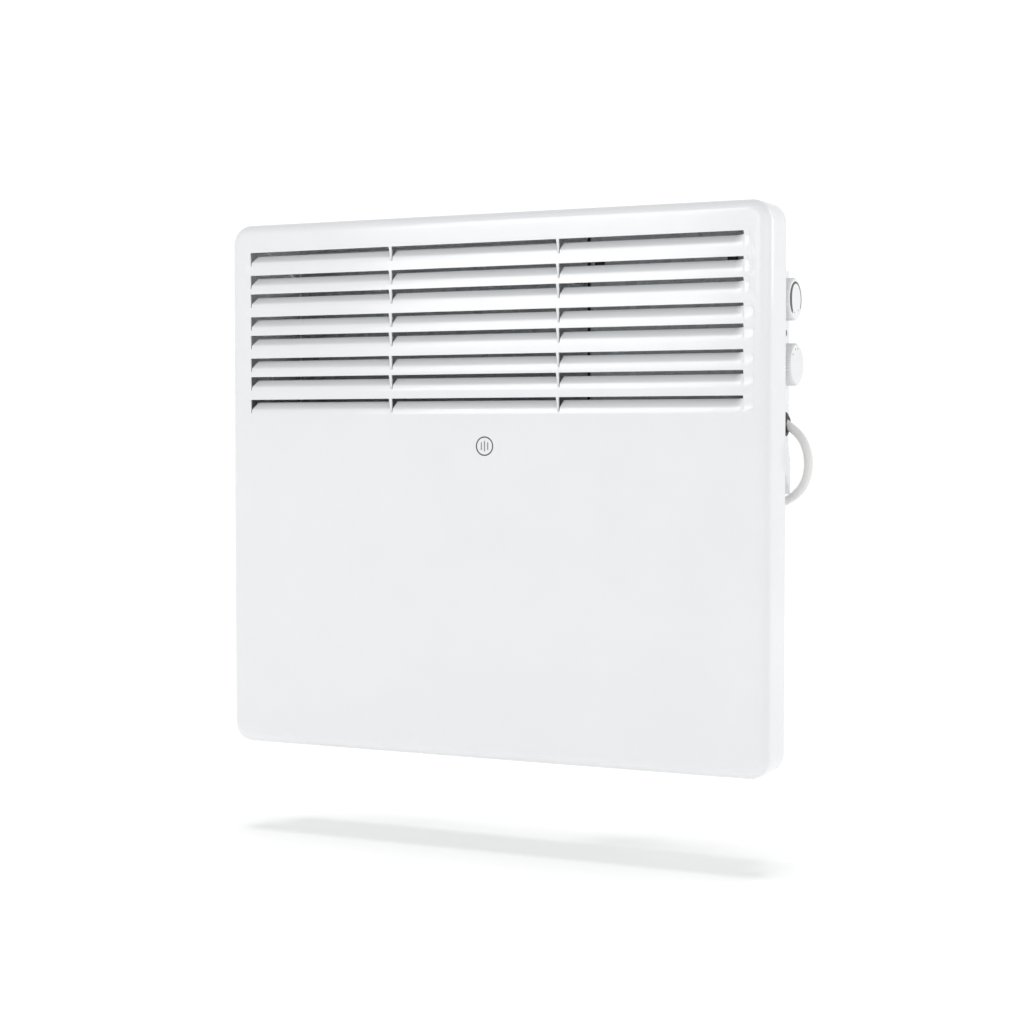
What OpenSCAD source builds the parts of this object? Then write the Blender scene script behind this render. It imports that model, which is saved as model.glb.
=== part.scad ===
// Wall-hung panel convector heater with a small tangential blower, in millimetres.
// X runs to the right, Y from the front towards the wall, Z up. The wall is the plane Y = 0 and
// the origin is the middle of the wall bracket's four screw holes, behind the middle of the body.

/* [Body] */
// Width of the front cover
panel_w = 440; // [400:1:500]
// Height of the front cover
panel_h = 400; // [360:1:460]
// Depth of the whole body without its wall bracket
body_d = 75; // [70:1:100]
// Depth of the front cover's side flange
cover_d = 35; // [30:1:45]
// Radius of the outline's corners, seen from the front
corner_r = 15; // [10:1:30]
// Radius of the roll between the face and the flange
edge_roll = 8; // [4:0.5:12]
// Thickness of the front cover's sheet
cover_t = 1.2; // [0.8:0.1:1.6]
// How far the rear case stands in from the cover on every side
case_inset = 15; // [10:0.5:18]
// Thickness of the rear case's sheet
case_t = 1; // [0.7:0.1:1.5]

/* [Louvres] */
// Height of the first slot's upper edge above the middle of the face
louvre_top = 178.4; // [150:0.1:185]
// Distance between the pairs of louvre rows
pair_pitch = 31.8; // [28:0.1:36]
// Distance from the first row of a pair to its second row
pair_step = 17.5; // [14:0.1:20]
// Number of pairs of louvre rows
pairs = 4; // [1:1:5]
// Half of the louvre field's width
louvre_half = 201.5; // [180:0.5:208]
// Opening above the blade in the first row of a pair
gap_wide = 2.6; // [2:0.1:5]
// Opening above the blade in the second row of a pair
gap_narrow = 2.1; // [1.5:0.1:4]
// How far a blade's upper edge lies behind the face
blade_in = 6; // [4:0.5:9]
// Height of a blade, from its slot's upper edge to where it runs into the face
blade_h = 10.4; // [8:0.1:13]

/* [Controls] */
// How far the control box stands out from the rear case's right side
box_out = 5; // [2:0.5:8]
// Distance of the knobs' axes behind the face
axis_back = 55.5; // [51:0.5:59]
// Distance of the pilot lamp's and gland's axes behind the face
lamp_back = 58; // [51:0.5:61]
// Height of the thermostat's axis
thermostat_z = 134; // [120:1:145]
// Height of the power selector's axis
selector_z = 88; // [75:1:100]
// Height of the pilot lamp
lamp_z = 110.5; // [100:0.5:120]
// Height of the cable gland
gland_z = 46; // [30:1:60]
// Radius of both control knobs
knob_r = 15; // [12:0.5:18]

/* [Wall bracket] */
// Gap between the wall and the back of the body
wall_gap = 42; // [30:1:60]
// Distance between the wall screws, left to right
wall_holes_x = 220; // [160:1:260]
// Distance between the wall screws, top to bottom
wall_holes_z = 200; // [140:1:240]
// Radius of the wall screw holes
wall_hole_r = 2.75; // [2:0.05:4]

/* [Power cord] */
// Diameter of the power cord
cord_d = 6.2; // [5:0.1:8]
// Mean radius of the stored coil
coil_r = 34; // [31:0.5:37]

/* [Blower] */
// Radius of the tangential wheel
wheel_r = 20; // [16:0.5:24]
// Number of blades on the wheel
wheel_blades = 18; // [12:1:24]

/* [Hidden] */
$fn = 48;
front_y = -wall_gap - body_d;
back_y = -wall_gap;
flange_y = front_y + cover_d;
axis_y = front_y + axis_back;
lamp_y = front_y + lamp_back;
half_h = panel_h / 2;
case_w = panel_w - 2 * case_inset;
case_h = panel_h - 2 * case_inset;
case_x = case_w / 2;
case_in = case_x - case_t;
box_x = case_x + box_out;
box_in = box_x - case_t;
case_r = 12;
case_floor = -case_h / 2 + case_t;
lip_gap = 0.3;
lip_w = panel_w - 2 * cover_t - 2 * lip_gap;
lip_h = panel_h - 2 * cover_t - 2 * lip_gap;
lip_r = corner_r - cover_t - lip_gap;
step_y = flange_y - 2;
lip_y = step_y - 13;
fit = 0.05;

// Louvre rows and columns
rows = [for (p = [0 : pairs - 1], s = [0, 1]) louvre_top - p * pair_pitch - s * pair_step];
row_gap = [for (p = [0 : pairs - 1], s = [0, 1]) s == 0 ? gap_wide : gap_narrow];
columns = [[-louvre_half, -78.8], [-76.4, 59.2], [61.4, louvre_half]];

// Insides
part_x = 79;
part_t = 1;
seal_w = 1.5;
seal_front = front_y + 12;
seal_d = 1.5;
shield_y = seal_front + seal_d;
shield_t = 0.8;
shield_clips_x = [88, 189];
shield_clips_z = 161;
shield_clip_r = 3.5;
reflector_y = back_y - 10;
reflector_t = 0.8;
mid_y = back_y - 42;
element_z = -88;
element_x = [-174, 50];
core_r = 4;
bracket_t = 1;
fan_z = -156;
wheel_x = [-168, 8];
shaft_r = 2;
fan_end_x = [-175, 15];
fan_end_t = 1.2;
scroll_r = wheel_r + 4;
stack_x = [28, 42];
rotor_r = 12;
bridge_t = 1.5;
lamp_r = 4;
spindle_r = 3;
control_screw = 9.5;
gland_r = 8.5;
gland_out = 4;
knob_base = 0.8;
thermostat_knob_h = 9.2;
selector_knob_h = 10.6;
cover_screws_x = [-150, 0, 150];
cover_screws_y = flange_y - 9;

// Bracket and stored cord
bracket_sheet = 1.5;
strip_w = 30;
arm_x = wall_holes_x / 2 + strip_w / 2;
lock_x = arm_x - 9;
lock_z = 110;
coil_x = 120;
coil_z = -40;
coil_y = -14;
coil_side = 3 * cord_d;
coil_deep = 2 * cord_d;
peg_r = 4;
peg_z = coil_z + coil_r - coil_side / 2 - peg_r - 0.2;
plug_x = 68;
plug_y = -21;
plug_top = -80;
sleeve_h = 25;
plug_h = 42;
cord_r = cord_d / 2;

// The cord's way from the gland, round the body's side and into the gap behind it
cord_route = [
    [213, -59, 46], [217, -59, 43], [221, -59, 39.5], [224.5, -59, 35.2], [227, -59, 30],
    [228.4, -58.3, 24], [228.3, -56.4, 17.8], [226.7, -53.2, 11.8], [223.7, -49, 6.2],
    [219.5, -44, 1.2], [214, -38.6, -3.2], [207.5, -33.2, -7], [200, -28.2, -10],
    [191.5, -23.8, -11.9], [182.5, -20.9, -12.5], [173, -19.1, -11.8], [163.5, -17.9, -10],
    [153.5, -17.3, -7.5], [142.5, -17.1, -4.6], [131, -17.1, -1.4]
];
// From the coil's left side down to the plug
tail_route = [[79.8, -10.9, -40], [79.6, -11.4, -47], [78.4, -13.2, -54], [75.9, -15.8, -61],
              [72.4, -18.4, -67.5], [69.5, -20.3, -73], [68, -21, -77], [68, -21, -80]];

// Wires and capillary
wire_r = 1.2;
live_route = [[150, -80, 52], [152, -82, 62], [160, -84, 72], [172, -82, 78], [180.8, -76, 80]];
neutral_route = [[142, -80, 52], [138, -84, 62], [126, -88, 66], [110, -88, 60], [96, -83, 48],
                 [88, -81, 41.8], [78, -81, 41.8], [73, -82, 34], [71, -84, 10], [70.5, -86, -30],
                 [72, -88, -66], [75.2, -85, -84.5]];
earth_route = [[134, -80, 52], [130, -76, 58], [124, -66, 60], [120, -56, 58], [118, -50, 52],
               [118, -48.6, 47]];
link_route = [[181.5, -50, 96], [170, -48, 104], [166, -48, 112], [170, -50, 120],
              [177.4, -54, 124]];
cutout_route = [[177.6, -66, 128], [168, -70, 118], [150, -76, 96], [120, -78, 72],
                [102, -76, 50], [90, -78.5, 38.6], [78, -79, 38.2], [50, -78, 20], [10, -79, -8],
                [-30, -81, -28], [-50, -82, -36.8]];
return_route = [[-70, -82, -36.8], [-90, -82, -40], [-130, -84, -47], [-170, -86, -53],
                [-188, -86, -60], [-196.5, -85.5, -72], [-197.6, -84.5, -86]];
motor_route = [[47.5, -106, -152], [56, -104, -142], [66, -96, -128], [76, -86.5, -121],
               [88, -84, -119.5], [100, -83, -108], [112, -84, -80], [122, -84, -30],
               [127, -82, 10], [128, -78, 28.6]];
capillary_r = 0.9;
capillary_route = [[-200, -104, 184.5], [-194, -104, 179.5], [-186, -104, 173],
                   [-176, -104, 164.2], [-168, -103, 157.5], [-158, -101, 153.8],
                   [-148, -100, 152.5], [-90, -100, 152.5], [-20, -100, 152.5],
                   [54, -100, 152.5], [68, -99.4, 152.5], [80, -98, 152.5],
                   [92, -96, 152.7], [108, -92, 154], [116, -84, 158]];
capillary_hole = [-98, 152.5];
bulb_x = 168;
bulb_y = -52;
bulb_route = [[177.8, -48, 142], [172, -46, 134], [bulb_x + 1, -45.4, 118], [bulb_x, -45.2, 90],
              [bulb_x, -45.2, 40], [bulb_x, -47, -10], [bulb_x, -50, -70],
              [bulb_x, bulb_y, -128]];

steel = [0.62, 0.63, 0.64];
galvanised = [0.55, 0.56, 0.57];
white = [0.93, 0.935, 0.94];
black = [0.09, 0.09, 0.1];
alu = [0.72, 0.73, 0.74];
ceramic = [0.88, 0.85, 0.8];
brass = [0.78, 0.66, 0.38];
copper = [0.72, 0.42, 0.25];
lamp_red = [0.75, 0.2, 0.12];
mica = [0.75, 0.68, 0.52];

// ---------- shared shapes ----------

// Points of a rectangle with round corners about the origin
function round_rect(w, h, r, n = 8) = [
    for (c = [[1, 1, 0], [-1, 1, 90], [-1, -1, 180], [1, -1, 270]], i = [0 : n])
        [c[0] * (w / 2 - r) + r * cos(c[2] + 90 * i / n),
         c[1] * (h / 2 - r) + r * sin(c[2] + 90 * i / n)]
];

module frame_2d(w, h, r, t) {
    difference() {
        polygon(round_rect(w, h, r));
        polygon(round_rect(w - 2 * t, h - 2 * t, max(r - t, 0.5)));
    }
}

// A flat shape drawn in X and Z, from y0 back to y1
module along_y(y0, y1) {
    translate([0, y1, 0]) rotate([90, 0, 0]) linear_extrude(y1 - y0) children();
}

// A flat shape drawn in Y and Z, from x0 to x1
module along_x(x0, x1) {
    translate([x0, 0, 0]) rotate([90, 0, 90]) linear_extrude(x1 - x0) children();
}

// A box between two values in each direction, in either order
module block(x, y, z) {
    translate([min(x), min(y), min(z)])
        cube([abs(x[1] - x[0]), abs(y[1] - y[0]), abs(z[1] - z[0])]);
}

module rod_x(x0, x1, r, y = 0, z = 0) {
    translate([x0, y, z]) rotate([0, 90, 0]) cylinder(h = x1 - x0, r = r);
}

module rod_y(y0, y1, r, x = 0, z = 0) {
    translate([x, y1, z]) rotate([90, 0, 0]) cylinder(h = y1 - y0, r = r);
}

module cone_x(x0, x1, r0, r1, y = 0, z = 0) {
    translate([x0, y, z]) rotate([0, 90, 0]) cylinder(h = x1 - x0, r1 = r0, r2 = r1);
}

// A round tube or wire swept along a list of points
function unit(v) = v / norm(v);
function heading(p, i) = unit(p[min(i + 1, len(p) - 1)] - p[max(i - 1, 0)]);
function side_of(d, up) = unit(cross(abs(d * up) > 0.95 ? [1, 0, 0] : up, d));
function ring(c, d, up, r, n) = let (a = side_of(d, up), b = cross(d, a))
    [for (k = [0 : n - 1]) c + r * (cos(360 * k / n) * a + sin(360 * k / n) * b)];

module sweep(points, r, n, up) {
    last = len(points) - 1;
    skin = [for (i = [0 : last]) each ring(points[i], heading(points, i), up, r, n)];
    sides = [for (i = [0 : last - 1], k = [0 : n - 1])
        let (a = i * n + k, b = i * n + (k + 1) % n) each [[a, b, b + n], [a, b + n, a + n]]];
    ends = [[for (k = [n - 1 : -1 : 0]) k], [for (k = [0 : n - 1]) last * n + k]];
    polyhedron(skin, concat([for (f = sides) [f[2], f[1], f[0]]],
                            [for (e = ends) [for (k = [len(e) - 1 : -1 : 0]) e[k]]]));
}

// ---------- sheet metal body ----------

// A pan with rolled edges, open towards the wall
module pan(w, h, r, roll, y0, y1) {
    steps = 5;
    hull() for (sx = [-1, 1], sz = [-1, 1])
        translate([sx * (w / 2 - r), 0, sz * (h / 2 - r)]) rotate([90, 0, 0])
            rotate_extrude($fn = 40) polygon(concat(
                [[0, -y1], [r, -y1]],
                [for (i = [0 : steps]) [r - roll + roll * cos(90 * i / steps),
                                        -y0 - roll + roll * sin(90 * i / steps)]],
                [[0, -y0]]));
}

// Cross-section of one blade: depth behind the face, height from the slot's upper edge
function blade_line(gap, off) = [
    [off, -blade_h], [0.4 + off, -blade_h + 1.6], [1.3 + off, -blade_h + 2.9],
    [blade_in, -gap - (off > 0 ? cover_t : 0)]];
function mirror_list(p) = [for (i = [len(p) - 1 : -1 : 0]) p[i]];

module blade(x0, x1, z, gap) {
    outer = blade_line(gap, 0);
    inner = blade_line(gap, cover_t);
    along_x(x0, x1) translate([front_y, z]) polygon(concat(
        [[0, -blade_h - 0.6]], outer, mirror_list(inner), [[cover_t, -blade_h - 0.6]]));
}

// The closed end of a blade on its right
module blade_end(x, z, gap) {
    along_x(x - cover_t, x) translate([front_y, z]) polygon([
        [0, 0.4], [0, -blade_h - 0.4], [1.3, -blade_h + 2.9], [blade_in, -gap - 0.6],
        [blade_in, 0.4]]);
}

module front_cover() {
    color(white) {
        difference() {
            pan(panel_w, panel_h, corner_r, edge_roll, front_y, flange_y);
            pan(panel_w - 2 * cover_t, panel_h - 2 * cover_t, corner_r - cover_t,
                edge_roll - cover_t, front_y + cover_t, flange_y + 1);
            for (i = [0 : len(rows) - 1], c = columns)
                block([c[0], c[1]], [front_y - 1, front_y + cover_t + 1],
                      [rows[i] - blade_h, rows[i]]);
            for (x = cover_screws_x)
                translate([x, cover_screws_y, -half_h - 1]) cylinder(h = 4, r = 2.1, $fn = 16);
        }
        for (i = [0 : len(rows) - 1], c = columns)
            blade(c[0] + 0.6, c[1], rows[i], row_gap[i]);
        for (i = [0 : len(rows) - 1])
            blade_end(louvre_half, rows[i], row_gap[i]);
    }
}

// Outline of the control box on the right side, seen from the right: Y and Z, t inside its edge
function box_outline(t) = [
    [step_y - 0.5 + t, 155 - t], [back_y - 4.5 - t, 155 - t], [back_y - 4.5 - t, 30],
    [back_y - 1 - t, 20], [back_y - 1 - t, -4 + 1.6 * t], [back_y - 15 + t, 18 + t],
    [back_y - 16 + t, 30 + t], [step_y - 0.5 + t, 33 + t]];

module rear_case() {
    vent_half = 1.9;
    color(white) difference() {
        union() {
            along_y(back_y - case_t, back_y) polygon(round_rect(case_w, case_h, case_r));
            along_y(step_y, back_y - case_t / 2) frame_2d(case_w, case_h, case_r, case_t);
            along_y(step_y - case_t, step_y) difference() {
                polygon(round_rect(lip_w, lip_h, lip_r));
                polygon(round_rect(case_w - 2 * case_t, case_h - 2 * case_t, case_r - case_t));
            }
            along_y(lip_y, step_y - case_t / 2) frame_2d(lip_w, lip_h, lip_r, case_t);
            along_x(case_in + 0.3, box_x) polygon(box_outline(0));
        }
        along_x(case_in - 1, box_in) polygon(box_outline(case_t));
        for (z = [thermostat_z, selector_z]) {
            rod_x(box_x - 3, box_x + 1, 5, axis_y, z);
            for (s = [-1, 1]) rod_x(box_x - 3, box_x + 1, 1.6, axis_y, z + s * control_screw);
        }
        rod_x(box_x - 3, box_x + 1, lamp_r - 0.4, lamp_y, lamp_z);
        rod_x(box_x - 3, box_x + 1, 6.6, lamp_y, gland_z);
        for (x = [-lock_x, lock_x], z = [-lock_z, lock_z])
            rod_y(back_y - 3, back_y + 1, 2.2, x, z);
        for (x = cover_screws_x)
            translate([x, cover_screws_y, -half_h]) cylinder(h = 4, r = 1.7);
        // Air inlet slots in the floor
        for (x = [-170 : 12 : 58])
            block([x - vent_half, x + vent_half], [step_y + 3, back_y - 6],
                  [-case_h / 2 - 1, -case_h / 2 + 3]);
        // Slot in the right side that gives access to the bracket's latch
        block([case_x - 3, case_x + 1], [back_y - 13, back_y - 2], [-121, -86]);
    }
}

module cover_screws() {
    color(steel) for (x = cover_screws_x) translate([x, cover_screws_y, -half_h]) {
        translate([0, 0, -1.6]) cylinder(h = 1.6, r = 3.4);
        translate([0, 0, -0.2]) cylinder(h = 8, r = 1.6);
    }
}

// ---------- insides ----------

module partition() {
    color(galvanised) difference() {
        union() {
            block([part_x, part_x + part_t], [shield_y, back_y - case_t],
                  [case_floor + 0.2, half_h - case_inset - case_t - 0.2]);
            block([part_x, part_x + 12], [back_y - case_t - 1, back_y - case_t],
                  [-150, 150]);
        }
        for (p = [[-80, 40], [-84, -120]]) rod_x(part_x - 2, part_x + 3, 6, p[0], p[1]);
        rod_x(part_x - 2, part_x + 3, 2.5, capillary_hole[0], capillary_hole[1]);
    }
}

module partition_seal() {
    color(black) block([part_x + part_t / 2 - seal_w / 2, part_x + part_t / 2 + seal_w / 2],
                       [seal_front, shield_y], [case_floor + 4, half_h - 16]);
}

module control_shield() {
    top = half_h - case_inset - case_t - 0.2;
    color(galvanised) difference() {
        union() {
            block([part_x + part_t + 2, case_in - 1], [shield_y, shield_y + shield_t],
                  [-170, top]);
            block([part_x + part_t, part_x + part_t + 2.8], [shield_y, shield_y + 10],
                  [-170, top]);
        }
        for (x = shield_clips_x) rod_y(shield_y - 1, shield_y + 2, 2, x, shield_clips_z);
        rod_x(part_x, part_x + 5, 2.5, capillary_hole[0], capillary_hole[1]);
    }
}

module shield_clips() {
    color(black) for (x = shield_clips_x) {
        rod_y(shield_y - 2, shield_y, shield_clip_r, x, shield_clips_z);
        rod_y(shield_y - 0.5, shield_y + 5, 1.8, x, shield_clips_z);
    }
}

module reflector() {
    color(galvanised) {
        block([-196, part_x - 6], [reflector_y - reflector_t, reflector_y], [-120, 176]);
        for (x = [-180, 60], z = [-80, 160])
            rod_y(reflector_y - 0.2, back_y - case_t, 5, x, z);
    }
}

// Outline of the finned aluminium block round the heating rod
module fin_outline() {
    circle(r = 8);
    square([2.6, 56], center = true);
    for (i = [-5 : 5]) if (abs(i) > 1)
        translate([0, i * 5.2]) square([36 - abs(i) * 1.6, 1.4], center = true);
}

module element_body() {
    color(alu) difference() {
        translate([0, mid_y, element_z]) along_x(element_x[0], element_x[1]) fin_outline();
        rod_x(element_x[0] - 1, element_x[1] + 1, core_r, mid_y, element_z);
    }
}

module element_core() {
    color(steel) {
        rod_x(-188, 66, core_r, mid_y, element_z);
        rod_x(65, part_x - 6, 1.6, mid_y, element_z);
        rod_x(-195, -187, 1.6, mid_y, element_z);
    }
}

module element_bushes() {
    color(ceramic) for (x = [-182, 58]) difference() {
        union() {
            rod_x(x - 3, x + 5, 6, mid_y, element_z);
            rod_x(x + 2, x + 5, 8, mid_y, element_z);
        }
        rod_x(x - 4, x + 6, core_r + 0.1, mid_y, element_z);
    }
}

module element_bracket(x) {
    color(galvanised) difference() {
        union() {
            block([x, x + bracket_t], [mid_y - 16, reflector_y - reflector_t],
                  [element_z - 18, element_z + 18]);
            block([x, x + 12], [reflector_y - reflector_t - 1, reflector_y - reflector_t],
                  [element_z - 18, element_z + 18]);
        }
        rod_x(x - 1, x + 2, 6.2, mid_y, element_z);
        rod_y(reflector_y - 4, reflector_y, 1.8, x + 7, element_z + 12);
    }
}

module element_bracket_left() {
    element_bracket(-181.2);
}

module element_bracket_right() {
    element_bracket(58.8);
}

module cutout_bracket() {
    color(galvanised) {
        block([-72, -48], [mid_y - 10, reflector_y - reflector_t], [-47, -46]);
        block([-72, -48], [reflector_y - reflector_t - 1, reflector_y - reflector_t],
              [-47, -34]);
    }
}

module thermal_cutout() {
    color(black) translate([-60, mid_y, -46]) {
        cylinder(h = 5, r = 8);
        translate([0, 0, 4.8]) cylinder(h = 4, r = 6);
    }
    color(steel) for (s = [-1, 1])
        block([-60 + s * 9 - 3, -60 + s * 9 + 3], [mid_y - 2, mid_y + 2], [-39, -38.2]);
}

module limiter_body() {
    color(black) block([104, 128], [-86, -66], [158.9, 176]);
    color(steel) block([104, 128], [-66, back_y - case_t], [158.9, 159.9]);
}

module limiter_capillary() {
    color(white) sweep(capillary_route, capillary_r, 8, [0, 1, 0]);
}

module capillary_clips() {
    color(white) for (x = [-120, -20, 50])
        difference() {
            block([x - 2, x + 2], [-103, reflector_y - reflector_t], [149.5, 155.5]);
            rod_x(x - 3, x + 3, capillary_r + 0.2, -100, 152.5);
            block([x - 3, x + 3], [-95, reflector_y - 6], [151, 157]);
        }
}

// ---------- blower ----------

module sector(r, a0, a1) {
    polygon(concat([[0, 0]], [for (i = [0 : 12]) let (a = a0 + (a1 - a0) * i / 12)
        [r * cos(a), r * sin(a)]]));
}

module fan_scroll() {
    color(galvanised) translate([0, mid_y, fan_z]) {
        along_x(fan_end_x[0] + fan_end_t, fan_end_x[1]) {
            difference() {
                intersection() {
                    circle(r = scroll_r + 0.8);
                    sector(60, -70, 80);
                }
                circle(r = scroll_r);
            }
        }
    }
}

module fan_tongue() {
    color(galvanised) {
        block([fan_end_x[0] + fan_end_t, fan_end_x[1]], [mid_y - scroll_r - 3, mid_y - scroll_r - 2],
              [fan_z - 14, fan_z + 18]);
        block([fan_end_x[0] + fan_end_t, fan_end_x[1]], [mid_y - scroll_r - 2.5, mid_y - scroll_r + 5],
              [fan_z - 14, fan_z - 13]);
    }
}

module fan_end(x) {
    block([x, x + fan_end_t], [mid_y - 30, reflector_y - 1.5], [case_floor, fan_z + 30]);
    block([x, x + fan_end_t + 8], [mid_y - 30, reflector_y - 1.5], [case_floor, case_floor + 1]);
}

module fan_end_left() {
    color(galvanised) difference() {
        translate([fan_end_x[0], 0, 0]) mirror([1, 0, 0]) translate([-fan_end_t, 0, 0])
            fan_end(0);
        rod_x(fan_end_x[0] - 1, fan_end_x[0] + 3, 6, mid_y, fan_z);
    }
}

module fan_end_right() {
    color(galvanised) difference() {
        fan_end(fan_end_x[1]);
        rod_x(fan_end_x[1] - 1, fan_end_x[1] + 3, 7, mid_y, fan_z);
        for (s = [-1, 1]) rod_x(fan_end_x[1] - 1, fan_end_x[1] + 3, 2, mid_y, fan_z + s * 19);
    }
}

module fan_bearing() {
    color(black) difference() {
        union() {
            rod_x(fan_end_x[0] - 3, fan_end_x[0] + 3, 6, mid_y, fan_z);
            rod_x(fan_end_x[0] - 3, fan_end_x[0], 8, mid_y, fan_z);
        }
        rod_x(fan_end_x[0] - 4, fan_end_x[0] + 4, shaft_r + fit, mid_y, fan_z);
    }
}

module fan_wheel() {
    blade_t = 0.8;
    blade_w = 5;
    discs = [wheel_x[0], (wheel_x[0] + wheel_x[1]) / 2, wheel_x[1] - 1.5];
    color(alu) difference() {
        union() {
            for (x = discs) rod_x(x, x + 1.5, wheel_r, mid_y, fan_z);
            for (x = [wheel_x[0], wheel_x[1] - 8]) rod_x(x, x + 8, 5, mid_y, fan_z);
            translate([0, mid_y, fan_z])
                along_x(wheel_x[0] + 0.5, wheel_x[1] - 0.5) for (i = [0 : wheel_blades - 1])
                    rotate(360 * i / wheel_blades) translate([wheel_r - blade_w / 2 - 0.6, 0])
                        rotate(28) square([blade_w, blade_t], center = true);
        }
        rod_x(wheel_x[0] - 1, wheel_x[1] + 1, shaft_r, mid_y, fan_z);
    }
}

module motor_shaft() {
    color(steel) rod_x(fan_end_x[0] - 2, stack_x[1] + 13, shaft_r, mid_y, fan_z);
}

module motor_rotor() {
    color(steel) difference() {
        rod_x(stack_x[0] - 1, stack_x[1] + 1, rotor_r, mid_y, fan_z);
        rod_x(stack_x[0] - 2, stack_x[1] + 2, shaft_r, mid_y, fan_z);
    }
}

module motor_stack() {
    leg = 6;
    color(steel) difference() {
        block(stack_x, [mid_y - 26, mid_y + 22], [fan_z - 24, fan_z + 24]);
        rod_x(stack_x[0] - 1, stack_x[1] + 1, rotor_r + 0.5, mid_y, fan_z);
        block([stack_x[0] - 1, stack_x[1] + 1], [mid_y - 26 + leg, mid_y - 15],
              [fan_z - 18, fan_z + 18]);
        for (s = [-1, 1]) rod_x(stack_x[0] - 1, stack_x[1] + 1, 2, mid_y, fan_z + s * 19);
    }
}

module motor_coil() {
    color(copper) difference() {
        block([stack_x[0] - 4, stack_x[1] + 4], [mid_y - 30, mid_y - 15.5],
              [fan_z - 16, fan_z + 16]);
        block([stack_x[0] - 0.2, stack_x[1] + 0.2], [mid_y - 26.2, mid_y - 19.8],
              [fan_z - 17, fan_z + 17]);
    }
}

// A bearing bridge: a bar across the stack, on two posts, with the shaft's bearing in the middle
module motor_bridge(bar_x, post_x) {
    difference() {
        union() {
            block([bar_x, bar_x + bridge_t], [mid_y - 8, mid_y + 8], [fan_z - 24, fan_z + 24]);
            for (s = [-1, 1]) rod_x(post_x[0], post_x[1], 3.6, mid_y, fan_z + s * 19);
            rod_x(bar_x - 2, bar_x + bridge_t + 2, 5, mid_y, fan_z);
        }
        rod_x(bar_x - 4, bar_x + bridge_t + 4, shaft_r + fit, mid_y, fan_z);
        for (s = [-1, 1]) rod_x(post_x[0] - 3, post_x[1] + 3, 2, mid_y, fan_z + s * 19);
    }
}

module motor_bridge_left() {
    bar_x = fan_end_x[1] + fan_end_t;
    color(steel) motor_bridge(bar_x, [bar_x + 1, stack_x[0]]);
}

module motor_bridge_right() {
    bar_x = stack_x[1] + 8;
    color(steel) motor_bridge(bar_x, [stack_x[1], bar_x + 0.5]);
}

module motor_bolts() {
    x1 = stack_x[1] + 8 + bridge_t;
    color(steel) for (s = [-1, 1]) {
        rod_x(fan_end_x[1] - 3, x1 + 0.2, 1.8, mid_y, fan_z + s * 19);
        rod_x(x1, x1 + 2.4, 3.4, mid_y, fan_z + s * 19);
        rod_x(fan_end_x[1] - 2.4, fan_end_x[1], 3.4, mid_y, fan_z + s * 19);
    }
}

// ---------- controls on the right side ----------

module rotary_control(depth, high, z) {
    difference() {
        union() {
            block([box_in - depth, box_in], [axis_y - 13, axis_y + 13], [z - high, z + high]);
            rod_x(box_in - 1, box_x + 0.6, 4.6, axis_y, z);
        }
        rod_x(box_in - 24, box_x + 2, spindle_r + fit, axis_y, z);
        for (s = [-1, 1]) rod_x(box_in - 8, box_in + 1, 1.3, axis_y, z + s * control_screw);
    }
}

module thermostat_body() {
    color(black) rotary_control(30, 16, thermostat_z);
}

module selector_body() {
    color(black) rotary_control(26, 14, selector_z);
}

module thermostat_bulb() {
    color(copper) {
        sweep(bulb_route, 1, 8, [1, 0, 0]);
        translate([bulb_x, bulb_y, -168]) cylinder(h = 40, r = 3);
    }
}

module spindle(z) {
    color(steel) rod_x(box_in - 22, box_x + 7.6, spindle_r, axis_y, z);
}

module thermostat_spindle() {
    spindle(thermostat_z);
}

module selector_spindle() {
    spindle(selector_z);
}

// A ribbed knob that hides its control's screws in a recess
module knob(z, high) {
    ribs = 36;
    rib = 0.35;
    color(white) translate([box_x + knob_base, axis_y, z]) rotate([0, 90, 0]) difference() {
        union() {
            linear_extrude(high - 1) polygon([for (i = [0 : 2 * ribs - 1])
                let (a = 360 * i / (2 * ribs), r = knob_r - (i % 2) * rib)
                [r * cos(a), r * sin(a)]]);
            translate([0, 0, high - 1.2]) cylinder(h = 1.2, r1 = knob_r - rib, r2 = knob_r - 1.2);
        }
        translate([0, 0, -1]) cylinder(h = 4, r = 13.4);
        translate([0, 0, -1]) cylinder(h = 7.8, r = spindle_r);
    }
}

module thermostat_knob() {
    knob(thermostat_z, thermostat_knob_h);
}

module selector_knob() {
    knob(selector_z, selector_knob_h);
}

module control_screws() {
    color(steel) for (z = [thermostat_z, selector_z], s = [-1, 1]) {
        rod_x(box_x, box_x + 1.6, 2.6, axis_y, z + s * control_screw);
        rod_x(box_in - 6, box_x + 0.2, 1.25, axis_y, z + s * control_screw);
    }
}

module pilot_lamp() {
    color(mica) {
        rod_x(box_in - 16, box_x, lamp_r - 0.5, lamp_y, lamp_z);
        rod_x(box_in - 4, box_in, lamp_r + 0.6, lamp_y, lamp_z);
    }
}

module pilot_lens() {
    color(lamp_red) {
        rod_x(box_x, box_x + 1, lamp_r, lamp_y, lamp_z);
        cone_x(box_x + 0.9, box_x + 2.2, lamp_r - 0.6, lamp_r - 1.8, lamp_y, lamp_z);
    }
}

// ---------- power cord ----------

module cable_gland() {
    color(black) difference() {
        union() {
            rod_x(box_x, box_x + 2.4, gland_r, lamp_y, gland_z);
            cone_x(box_x + 2.3, box_x + gland_out, gland_r - 1, gland_r - 2.6, lamp_y, gland_z);
            rod_x(box_x - 8, box_x + 0.2, 6.4, lamp_y, gland_z);
            cone_x(box_x - 20, box_x - 7.8, 4.6, 6.2, lamp_y, gland_z);
        }
        rod_x(box_x - 21, box_x + 6, cord_r, lamp_y, gland_z);
    }
}

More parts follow.
